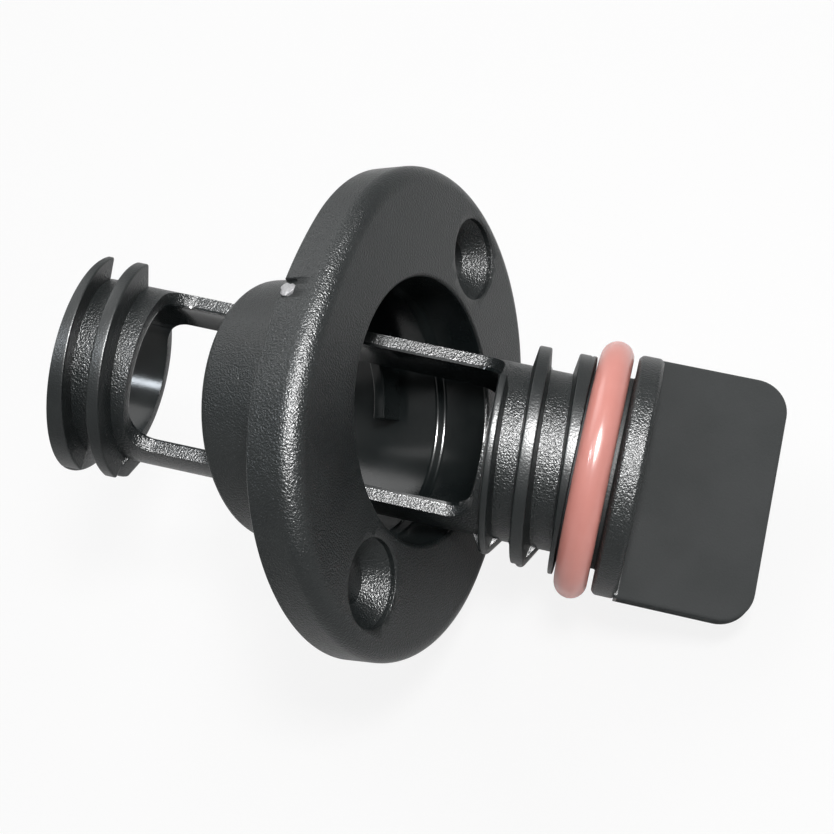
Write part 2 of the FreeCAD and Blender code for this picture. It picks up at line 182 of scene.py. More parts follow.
def rounded(corners: np.ndarray, cuts: np.ndarray, steps: int = 5) -> np.ndarray:
    """Rounds the corners of a closed line.

    Each corner C with cut points A and B, both one cut away from it along its two sides, becomes
    the parabola A (1-t)^2 + 2 C t (1-t) + B t^2. A cut of zero keeps the corner as one point.

    Args:
        corners: Corner points, one row each.
        cuts: Cut length at each corner.
        steps: Points on each rounded corner.

    Returns:
        The points of the rounded line, in order.
    """
    sides = np.stack([np.roll(corners, 1, axis=0), np.roll(corners, -1, axis=0)]) - corners
    sides /= np.maximum(np.linalg.norm(sides, axis=2, keepdims=True), 1e-9)
    start, end = (corners + sides * cuts[:, None])[:, :, None, :]
    share = np.linspace(0.0, 1.0, steps)[None, :, None]
    bend = 2 * corners[:, None, :] * share * (1 - share)
    curve = start * (1 - share) ** 2 + bend + end * share ** 2
    keep = np.ones((len(corners), steps), bool)
    keep[cuts <= 0, 1:] = False
    return curve[keep]


def swept(sections: np.ndarray) -> Shell:
    """Joins closed sections along a path into a surface and caps its two ends flat.

    Args:
        sections: Points of shape (sections, points of a section, 3).

    Returns:
        The closed shell.
    """
    count, around = sections.shape[:2]
    last = (count - 1) * around
    caps = [list(range(around)), list(range(last, last + around))]
    return Shell(sections.reshape(-1, 3), grid_quads(count, around, False), caps)


def turned(profile: np.ndarray, columns: int) -> Shell:
    """Turns a line about the station axis into a surface and caps its two ends flat.

    Args:
        profile: Points (station, radius) of the line.
        columns: Points round the axis.

    Returns:
        The closed shell.
    """
    return swept(about_axis(profile[:, :1], profile[:, 1:], full_circle(columns)))


# Meshes


def placed(name: str, data: bpy.types.ID) -> Piece:
    """Makes an object of its data and puts it into the scene."""
    bpy.context.scene.collection.objects.link(thing := bpy.data.objects.new(name, data))
    return thing


def make_piece(name: str, shells: list[Shell]) -> Piece:
    """Puts shells into one mesh object, with its faces outward and smooth up to the crease angle.

    Args:
        name: Name of the piece.
        shells: Surfaces in the row frame.

    Returns:
        The new object, at the origin.
    """
    offsets = np.cumsum([0] + [len(shell.points) for shell in shells[:-1]]).tolist()
    points = np.concatenate([shell.points for shell in shells]) * MILLIMETRE
    faces = np.concatenate([shell.quads + first for shell, first in zip(shells, offsets)]).tolist()
    for shell, first in zip(shells, offsets):
        faces += [[index + first for index in cap] for cap in shell.caps]
    mesh = bpy.data.meshes.new(name)
    mesh.from_pydata(points.tolist(), [], faces)
    piece = placed(name, mesh)
    face_outward(piece)
    return piece


def face_outward(piece: Piece) -> None:
    """Merges doubled points, turns every face outward and marks the sharp creases.

    Args:
        piece: A mesh object.
    """
    work = bmesh.new()
    work.from_mesh(piece.data)
    bmesh.ops.remove_doubles(work, verts=work.verts, dist=MERGE_DISTANCE)
    bmesh.ops.recalc_face_normals(work, faces=work.faces)
    work.to_mesh(piece.data)
    work.free()
    piece.data.shade_smooth()
    piece.data.set_sharp_from_angle(angle=math.radians(CREASE))


def modify(piece: Piece, kind: str, **settings: object) -> None:
    """Puts a modifier on a piece and makes its result the piece's mesh.

    Args:
        piece: A mesh object.
        kind: The modifier's type.
        **settings: The modifier's own properties.
    """
    modifier = piece.modifiers.new(kind.lower(), kind)
    for key, value in settings.items():
        setattr(modifier, key, value)
    graph = bpy.context.evaluated_depsgraph_get()
    finished = bpy.data.meshes.new_from_object(piece.evaluated_get(graph))
    piece.modifiers.clear()
    old = piece.data
    piece.data = finished
    finished.name = piece.name
    bpy.data.meshes.remove(old)


def cut_away(piece: Piece, tool: Piece) -> None:
    """Takes a closed tool's volume out of a piece and removes the tool."""
    modify(piece, "BOOLEAN", operation="DIFFERENCE", solver="EXACT", object=tool)
    bpy.data.objects.remove(tool)


def soften_edges(piece: Piece, width: float) -> None:
    """Bevels the edges of a cut piece that turn by more than 50 degrees.

    Args:
        piece: A mesh object.
        width: The bevel's width, in millimetres.
    """
    modify(piece, "BEVEL", width=width * MILLIMETRE, segments=2, limit_method="ANGLE",
           angle_limit=math.radians(50.0), use_clamp_overlap=True)
    face_outward(piece)


def complete(piece: Piece, additions: list[Shell]) -> None:
    """Adds the last shells to a cut moulding, clears folded faces and evens its shading.

    Faces of more than four corners are divided, and pairs that lie back to back are removed. The
    shading normals then turn towards the larger faces.

    Args:
        piece: The mesh object.
        additions: Closed shells in the row frame.
    """
    addition = make_piece("additions", additions)
    work = bmesh.new()
    work.from_mesh(piece.data)
    work.from_mesh(addition.data)
    bpy.data.objects.remove(addition)
    bmesh.ops.dissolve_degenerate(work, edges=work.edges, dist=MERGE_DISTANCE)
    bmesh.ops.triangulate(work, faces=[face for face in work.faces if len(face.verts) > 4])
    work.verts.index_update()
    sharing: dict[frozenset[int], list[bmesh.types.BMFace]] = {}
    for face in work.faces:
        sharing.setdefault(frozenset(corner.index for corner in face.verts), []).append(face)
    folds = [face for faces in sharing.values() if len(faces) > 1 for face in faces]
    bmesh.ops.delete(work, geom=folds, context="FACES")
    work.to_mesh(piece.data)
    work.free()
    modify(piece, "WEIGHTED_NORMAL", keep_sharp=True)


# Finishes


class Shading:
    """The nodes of a material or of the world, with short calls to add and join them."""

    def __init__(self, owner: bpy.types.ID, output: str = "OutputMaterial") -> None:
        """Clears the owner's nodes and gives it an output.

        Args:
            owner: The material or world.
            output: The output node's type, without its leading "ShaderNode".
        """
        self.owner = owner
        owner.use_nodes = True
        self.nodes = owner.node_tree.nodes
        self.links = owner.node_tree.links
        self.nodes.clear()
        self.output = self.add(output)

    def feed(self, socket: Socket, value: object) -> None:
        """Gives an input socket a plain value or a link.

        Args:
            socket: The input.
            value: A plain value, or a socket to link from.
        """
        if isinstance(value, Socket):
            self.links.new(value, socket)
        else:
            socket.default_value = value

    def add(self, kind: str, settings: dict[str, object] | None = None,
            inputs: dict[int, object] | None = None, **values: object) -> Node:
        """Adds a node, its inputs fed with plain values or with sockets to link from.

        Args:
            kind: The node's type, without its leading "ShaderNode".
            settings: The node's own properties.
            inputs: Inputs by their index.
            **values: Inputs by their name, with _ for a space.

        Returns:
            The new node.
        """
        node = self.nodes.new("ShaderNode" + kind)
        for key, value in (settings or {}).items():
            setattr(node, key, value)
        for index, value in (inputs or {}).items():
            self.feed(node.inputs[index], value)
        for key, value in values.items():
            self.feed(node.inputs[key.replace("_", " ")], value)
        return node

    def number(self, operation: str, first: object, second: object) -> Socket:
        """The result of an operation on two numbers."""
        return self.add("Math", {"operation": operation}, {0: first, 1: second}).outputs[0]

    def vector(self, operation: str, first: object, second: Place = (0.0, 0.0, 0.0)) -> Node:
        """A node that works out a vector or a length from one or two vectors."""
        return self.add("VectorMath", {"operation": operation}, {0: first, 1: second})

    def noise(self, place: Socket, scale: float, detail: float) -> Socket:
        """A cloudy noise of about 0 to 1, of so many clouds to the metre."""
        return self.add("TexNoise", Vector=place, Scale=scale, Detail=detail).outputs["Fac"]

    def band(self, value: Socket, low: float, high: float) -> Socket:
        """A smooth ramp from 0 at low to 1 at high."""
        smooth = {"interpolation_type": "SMOOTHSTEP"}
        return self.add("MapRange", smooth, Value=value, From_Min=low, From_Max=high).outputs[0]

    def between(self, share: Socket, first: object, second: object) -> Socket:
        """A number between two, by a share from 0 to 1."""
        return self.add("MapRange", Value=share, To_Min=first, To_Max=second).outputs[0]

    def blend(self, share: Socket, first: object, second: object) -> Socket:
        """A colour between two, by a share from 0 to 1."""
        return self.add("Mix", {"data_type": "RGBA"}, {0: share, 6: first, 7: second}).outputs[2]

    def finish(self, shader: Node) -> bpy.types.ID:
        """Puts a shader on the output and gives back the material or world."""
        self.links.new(shader.outputs[0], self.output.inputs["Surface"])
        return self.owner


@dataclass(frozen=True)
class MouldZone:
    """A region of a piece whose mould was finished differently, by radius and station."""

    radius: Span
    station: Span
    finish: ToolFinish


@dataclass(frozen=True)
class BlackPlastic:
    """Moulded black plastic with a spark-eroded grain, smoother in some zones of the mould.

    The grain is a bump of a noise about as coarse as grain_size, with a cloudier noise for the
    slight differences in tone. Each zone is told by the distance from the piece's own axis and the
    station along it, and sets the grain's strength and the roughness there.
    """

    name: str
    zones: tuple[MouldZone, ...]
    base: Colour = (0.0085, 0.0115, 0.0120, 1.0)
    lighter: Colour = (0.0135, 0.0170, 0.0172, 1.0)
    grain_size: float = 0.20
    grain_height: float = 0.11
    grain_detail: float = 2.0
    cloud_scale: float = 140.0
    cloud_detail: float = 5.0
    cloud_limits: Span = (0.35, 0.65)
    cloud_roughness: float = 0.05
    roughness: float = 0.31
    specular: float = 0.32
    zone_edge: float = 0.12
    scar_place: Place = (0.0, 0.0, 100.0)
    scar_radius: float = 0.95
    scar_core: float = 0.8
    scar_tone: Colour = (0.42, 0.42, 0.43, 1.0)

    def scar_share(self, shading: Shading, place: Socket) -> Socket:
        """A share that is 1 where the gate broke off and stress has turned the plastic pale.

        Args:
            shading: The material in the making.
            place: The place on the piece.

        Returns:
            The share's socket.
        """
        centre = tuple(np.array(self.scar_place) * MILLIMETRE)
        apart = shading.vector("DISTANCE", place, centre).outputs["Value"]
        limit = self.scar_radius * MILLIMETRE
        return shading.number("SUBTRACT", 1.0, shading.band(apart, limit * self.scar_core, limit))

    def inside(self, shading: Shading, value: Socket, limits: Span) -> Socket:
        """A share that is 1 between two limits and fades out past them.

        Args:
            shading: The material in the making.
            value: A measure in metres.
            limits: The lower and upper limit in millimetres.

        Returns:
            The share's socket.
        """
        edge = self.zone_edge * MILLIMETRE
        low, high = (limit * MILLIMETRE for limit in limits)
        rising = shading.band(value, low - edge, low)
        falling = shading.number("SUBTRACT", 1.0, shading.band(value, high, high + edge))
        return shading.number("MULTIPLY", rising, falling)

    def material(self, axes: Axes) -> Material:
        """Builds the material.

        Args:
            axes: The piece's own axes, from which the zones are measured.

        Returns:
            The material.
        """
        shading = Shading(bpy.data.materials.new(self.name))
        place = shading.add("TexCoord").outputs["Object"]
        own = shading.add(
            "Mapping", {"vector_type": "TEXTURE"}, Vector=place,
            Location=tuple(np.array(axes.crossing) * MILLIMETRE), Rotation=axes.angles,
        ).outputs["Vector"]
        across = shading.vector("MULTIPLY", own, (0.0, 1.0, 1.0)).outputs["Vector"]
        radius = shading.vector("LENGTH", across).outputs["Value"]
        station = shading.add("SeparateXYZ", Vector=own).outputs["X"]
        strength: object = 1.0
        rough: object = self.roughness
        for zone in self.zones:
            beside = self.inside(shading, radius, zone.radius)
            along = self.inside(shading, station, zone.station)
            share = shading.number("MULTIPLY", beside, along)
            grain_there, rough_there = zone.finish.value
            strength = shading.between(share, strength, grain_there)
            rough = shading.between(share, rough, rough_there)
        grain = shading.noise(place, 1 / (self.grain_size * MILLIMETRE), self.grain_detail)
        cloud = shading.noise(place, self.cloud_scale, self.cloud_detail)
        mottle = shading.band(cloud, *self.cloud_limits)
        height = self.grain_height * MILLIMETRE
        bump = shading.add("Bump", Strength=strength, Distance=height, Height=grain)
        tone = shading.blend(mottle, self.base, self.lighter)
        uneven = shading.number("MULTIPLY", mottle, self.cloud_roughness)
        shader = shading.add(
            "BsdfPrincipled",
            Base_Color=shading.blend(self.scar_share(shading, place), tone, self.scar_tone),
            Roughness=shading.number("ADD", rough, uneven),
            Specular_IOR_Level=self.specular, Normal=bump.outputs["Normal"],
        )
        return shading.finish(shader)


@dataclass(frozen=True)
class SealRubber:
    """Salmon rubber: smooth, slightly glossy, with faint clouding and fine pores."""

    name: str = "salmon_rubber_finish"
    base: Colour = (0.76, 0.300, 0.255, 1.0)
    paler: Colour = (0.78, 0.325, 0.280, 1.0)
    cloud_scale: float = 260.0
    cloud_detail: float = 4.0
    cloud_limits: Span = (0.2, 0.8)
    roughness: Span = (0.21, 0.25)
    pore_size: float = 0.12
    pore_height: float = 0.006
    pore_detail: float = 2.0

    def material(self) -> Material:
        """Builds the material.

        Returns:
            The material.
        """
        shading = Shading(bpy.data.materials.new(self.name))
        place = shading.add("TexCoord").outputs["Object"]
        cloud = shading.noise(place, self.cloud_scale, self.cloud_detail)
        mottle = shading.band(cloud, *self.cloud_limits)
        pores = shading.noise(place, 1 / (self.pore_size * MILLIMETRE), self.pore_detail)
        bump = shading.add("Bump", Distance=self.pore_height * MILLIMETRE, Height=pores)
        shader = shading.add(
            "BsdfPrincipled", Base_Color=shading.blend(mottle, self.base, self.paler),
            Roughness=shading.between(mottle, *self.roughness), Normal=bump.outputs["Normal"],
        )
        return shading.finish(shader)


@dataclass(frozen=True)
class PaleFloor:
    """Pale studio paper that looks white to the camera and keeps a soft shadow.

    To the camera it is mostly a plain white, with a share of the lit paper for the shadow, which
    fades between the two distances from the object, in metres. Reflections see more of the paper.
    """

    name: str = "pale_floor_paper"
    paper: Colour = (0.90, 0.90, 0.90, 1.0)
    fibre: Colour = (0.93, 0.93, 0.93, 1.0)
    fibre_scale: float = 900.0
    fibre_detail: float = 3.0
    camera_share: float = 0.86
    reflected_share: float = 0.25
    fade: Span = (0.12, 0.50)

    def material(self) -> Material:
        """Builds the material.

        Returns:
            The material.
        """
        shading = Shading(bpy.data.materials.new(self.name))
        path = shading.add("LightPath").outputs
        place = shading.add("TexCoord").outputs["Object"]
        far = shading.band(shading.vector("LENGTH", place).outputs["Value"], *self.fade)
        plain = shading.between(far, self.camera_share, 1.0)
        seen = shading.number("MULTIPLY", path["Is Camera Ray"], plain)
        mirrored = shading.number("MULTIPLY", path["Is Glossy Ray"], self.reflected_share)
        share = shading.number("MAXIMUM", seen, mirrored)
        fibres = shading.add("TexNoise", Scale=self.fibre_scale, Detail=self.fibre_detail)
        tint = shading.blend(fibres.outputs["Fac"], self.paper, self.fibre)
        paper = shading.add("BsdfDiffuse", Color=tint)
        light = shading.add("Emission")
        parts = {0: share, 1: paper.outputs[0], 2: light.outputs[0]}
        return shading.finish(shading.add("MixShader", None, parts))


# Pieces


def dress(piece: Piece, material: Material, body: str, node: str) -> Piece:
    """Gives a piece its material, lets it ride on a body and stand for a node.

    Args:
        piece: The object.
        material: Its finish.
        body: The body that it rides on.
        node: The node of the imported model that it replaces.

    Returns:
        The same object.
    """
    piece.data.materials.clear()
    piece.data.materials.append(material)
    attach(piece, body)
    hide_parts(node)
    return piece


@dataclass
class Tooth:
    """A thread tooth or rib: a rounded trapezium carried along a right-hand helix.

    At an angle the middle of the section stands at middle + pitch (angle - start) / 360. Past a
    limit the section is pressed flat to a small share of its depth, which leaves it closed. The
    two sections at each blunt end are lowered and narrowed by shares of the edge, which rounds it.
    """

    start: float
    turns: float
    middle: float
    root_width: float
    crest_width: float
    root_radius: float
    crest_radius: float
    pitch: float
    low_limit: float = -1000.0
    high_limit: float = 1000.0
    past_limit: float = 0.01
    edge: float = 0.22
    degrees_apart: float = 2.0
    end_share: float = 0.3
    end_lowering: Span = (0.6, 0.18)

    def shell(self) -> Shell:
        """The tooth as a closed surface on the axes that it winds round.

        Returns:
            The closed shell.
        """
        span = FULL_TURN * self.turns
        inner = np.linspace(0.0, span, max(8, int(span / self.degrees_apart)) + 1)
        low, high = self.root_radius, self.crest_radius
        lead = math.degrees(self.edge / max(low, high))
        angles = np.concatenate([
            [0.0, lead * self.end_share, lead], inner[(inner > lead) & (inner < span - lead)],
            [span - lead, span - lead * self.end_share, span],
        ])
        lowering = np.zeros(len(angles))
        lowering[[0, -1]] = self.end_lowering[0] * self.edge
        lowering[[1, -2]] = self.end_lowering[1] * self.edge
        toward = 1.0 if high > low else -1.0
        root, crest = self.root_width / 2, self.crest_width / 2
        corners = np.array([(-root, low), (-crest, high), (crest, high), (root, low)])
        cut = min(self.edge, 0.45 * self.crest_width)
        section = rounded(corners, np.array([0.0, cut, cut, 0.0]), 6)
        lowered = lowering[:, None] * (section[:, 1] - low) / (high - low)
        radius = section[:, 1] - toward * lowered
        centre = self.middle + self.pitch * angles[:, None] / FULL_TURN
        station = centre + section[:, 0] * (1 - lowered / max(root, 0.5))
        within = np.clip(station, self.low_limit, self.high_limit)
        station = within + self.past_limit * (station - within)
        return swept(about_axis(station, radius, np.radians(self.start + angles)[:, None]))


@dataclass
class Housing:
    """Oval flange with two screw holes, collar through the hull, stepped bore and thread rib."""

    flange_length: float = 53.5
    flange_width: float = 44.4
    flange_thickness: float = 5.4
    end_radius: float = 21.7
    rim_radius: float = 1.95
    rear_edge: float = 0.15
    collar_radius: float = 14.4
    collar_length: float = 13.3
    collar_edge: float = 0.6
    mouth_radius: float = 14.0
    mouth_edge: float = 0.5
    bore_radius: float = 13.3
    bore_edge: float = 0.15
    step_round: float = 0.25
    screw_spacing: float = 40.0
    head_radius: float = 4.5
    head_depth: float = 0.7
    head_bevel: float = 0.16
    hole_radius: float = 2.4
    rib_crest_radius: float = 10.4
    rib_root_radius: float = 13.85
    rib_crest_width: float = 1.4
    rib_root_width: float = 2.5
    rib_depth: float = 6.9
    rib_start: float = -63.0
    rib_turns: float = 0.33
    pitch: float = 4.0
    gate_place: Span = (0.65, -0.25)
    gate_radius: float = 0.80
    gate_depth: float = 0.45
    pocket_reach: float = 1.0
    pocket_half_width: float = 1.15
    pocket_round: float = 0.6
    stub_gap: float = 0.02
    stub_slope: float = 0.10
    grained_strip: float = 0.3
    columns: int = 288
    axes: Axes = field(default_factory=Axes)

    def outline(self, angle: np.ndarray, inset: float) -> np.ndarray:
        """Distance from the bore's axis to the flange's outline, moved inward by an inset.

        The outline is four arcs that meet tangent: two round the screw ends and two long ones. A
        ray at an angle meets a circle of radius R centred a distance c along the screws, or d
        across them, at c cos + sqrt(R^2 - c^2 sin^2) and at -d sin + sqrt(R^2 - d^2 cos^2).

        Args:
            angle: Angles about the bore from +Y towards +Z, in radians.
            inset: How far inside the outline.

        Returns:
            The distances.
        """
        length, width = self.flange_length, self.flange_width
        along = length / 2 - self.end_radius
        square = (length ** 2 + width ** 2) / 4 - length * self.end_radius
        side_radius = square / (width - 2 * self.end_radius)
        below = side_radius - width / 2
        join = math.atan2(below, along)
        end = self.end_radius - inset
        side = side_radius - inset
        meeting = math.atan2(end * math.sin(join), along + end * math.cos(join))
        cosine = np.abs(np.cos(angle))
        sine = np.abs(np.sin(angle))
        round_end = along * cosine + np.sqrt(end ** 2 - (along * sine) ** 2)
        long_side = -below * sine + np.sqrt(side ** 2 - (below * cosine) ** 2)
        return np.where(np.arctan2(sine, cosine) < meeting, round_end, long_side)

    def body(self) -> Shell:
        """Flange, collar and bore as one surface, a closed profile carried round the bore.

        Each row of the profile has a depth, a radius, a share and an inset. Its distance from the
        axis blends from a circle (share 0) to the flange's outline (share 1):
        (1 - share) radius + share outline(inset).

        Returns:
            The closed shell.
        """
        front, rear = self.flange_thickness, -self.collar_length
        mouth, bore, collar = self.mouth_radius, self.bore_radius, self.collar_radius
        quarter = quarter_turn(13)
        ease = np.linspace(0.0, 1.0, 7)
        corners = np.array([
            (front, mouth), (0.0, mouth), (bore - mouth, bore),
            (rear, bore), (rear, collar), (0.0, collar),
        ])
        cuts = [0.0, self.step_round, self.step_round, self.bore_edge, self.collar_edge, 0.0]
        inner = rounded(corners, np.array(cuts), 6)[1:-1]
        rim, lip = self.rim_radius, self.mouth_edge
        rim_turn = points_of(front - rim * (1 - np.cos(quarter)), rim * (1 - np.sin(quarter)))[::-1]
        mouth_turn = points_of(front - lip * (1 - np.cos(quarter)),
                               mouth + lip * (1 - np.sin(quarter)))
        rows = [(x, r, 0.0, 0.0) for x, r in inner]
        rows += [(0.0, collar, share, self.rear_edge) for share in ease]
        rows += [(self.rear_edge, 0.0, 1.0, 0.0)]
        rows += [(x, 0.0, 1.0, inset) for x, inset in rim_turn]
        rows += [(front, mouth + lip, 1.0 - share, rim) for share in ease[1:-1]]
        rows += [(x, r, 0.0, 0.0) for x, r in mouth_turn]
        depth, circle, share, insets = (column[:, None] for column in np.array(rows).T)
        angle = full_circle(self.columns)
        reach = np.stack([self.outline(angle, inset) for inset in insets[:, 0]])
        points = about_axis(depth, (1 - share) * circle + share * reach, angle)
        return Shell(points.reshape(-1, 3), grid_quads(len(rows), self.columns, True))

    def rib(self) -> Shell:
        """The thread rib: a rounded trapezium carried along a right-hand helix inside the bore.

        Returns:
            The closed shell.
        """
        return Tooth(
            start=self.rib_start, turns=self.rib_turns, middle=-self.rib_depth, pitch=self.pitch,
            root_width=self.rib_root_width, crest_width=self.rib_crest_width,
            root_radius=self.rib_root_radius, crest_radius=self.rib_crest_radius,
        ).shell()

    def screw_tool(self, side: int) -> Piece:
        """The volume of one countersunk hole, with the slight bevel of its rim.

        Args:
            side: 1 for the hole on +Y, -1 for the one on -Y.

        Returns:
            A closed mesh object.
        """
        front, hole, head = self.flange_thickness, self.hole_radius, self.head_radius
        profile = np.array([
            (-TOOL_REACH, hole), (front - self.head_depth - (head - hole), hole),
            (front - self.head_depth, head), (front - self.head_bevel, head),
            (front + TOOL_REACH, head + TOOL_REACH + self.head_bevel),
        ])
        shell = turned(profile, 96)
        shell.points[:, 1] += side * self.screw_spacing / 2
        return make_piece("screw_hole_tool", [shell])

    def gate_pocket(self) -> Piece:
        """The volume of the shallow pocket round the gate, in the side wall at the rear edge.

        Returns:
            A closed mesh object: a rounded rectangle carried through the wall.
        """
        middle, across = self.gate_place
        front = middle + self.pocket_reach
        left, right = across - self.pocket_half_width, across + self.pocket_half_width
        rear = -TOOL_REACH
        corners = np.array([(rear, left), (front, left), (front, right), (rear, right)])
        loop = rounded(corners, np.array([0.0, self.pocket_round, self.pocket_round, 0.0]), 8)
        levels = np.array([-self.gate_depth, 2 * TOOL_REACH])[:, None] + self.flange_width / 2
        return make_piece("gate_pocket_tool", [swept(points_of(loop[:, 0], loop[:, 1], levels))])

    def gate_stub(self) -> Shell:
        """The ragged stub where the gate broke off, no higher than the wall beside the pocket.

        Its radius round the angle a is gate_radius (1 + 0.16 sin(3a + 0.6) + 0.07 sin(7a)),
        narrowing by a share at each rise, towards a top that slopes by cos(a - 1).

        Returns:
            The closed shell.
        """
        middle, across = self.gate_place
        angle = full_circle(48)
        ragged = self.gate_radius * (1 + 0.16 * np.sin(3 * angle + 0.6) + 0.07 * np.sin(7 * angle))
        share = np.array([1.15, 1.0, 0.96, 0.82, 0.45, 0.08])[:, None]
        rise = np.array([-0.3, 0.25, 0.75, 0.93, 0.98, 1.0])[:, None]
        slope = self.stub_slope * (1 + np.cos(angle - 1.0)) * np.minimum(share, 1.0)
        top = self.flange_width / 2 - self.stub_gap - slope
        foot = self.flange_width / 2 - self.gate_depth
        out = share * ragged
        return swept(points_of(middle + out * np.cos(angle), across + out * np.sin(angle),
                               foot + rise * (top - foot)))

    def build(self) -> Piece:
        """Makes the housing, dressed, on its body.

        Returns:
            The finished piece.
        """
        piece = make_piece("housing_moulding", [self.body()])
        cut_away(piece, self.gate_pocket())
        for side in (1, -1):
            cut_away(piece, self.screw_tool(side))
        complete(piece, [self.rib(), self.gate_stub()])
        polished = MouldZone(
            (0.0, self.mouth_radius + 0.05),
            (-self.collar_length - 1.0, self.flange_thickness - self.grained_strip),
            ToolFinish.POLISHED,
        )
        scar = (*self.gate_place, self.flange_width / 2)
        finish = BlackPlastic("black_plastic_housing", (polished,), scar_place=scar)
        return dress(piece, finish.material(self.axes), "housing", "housing")


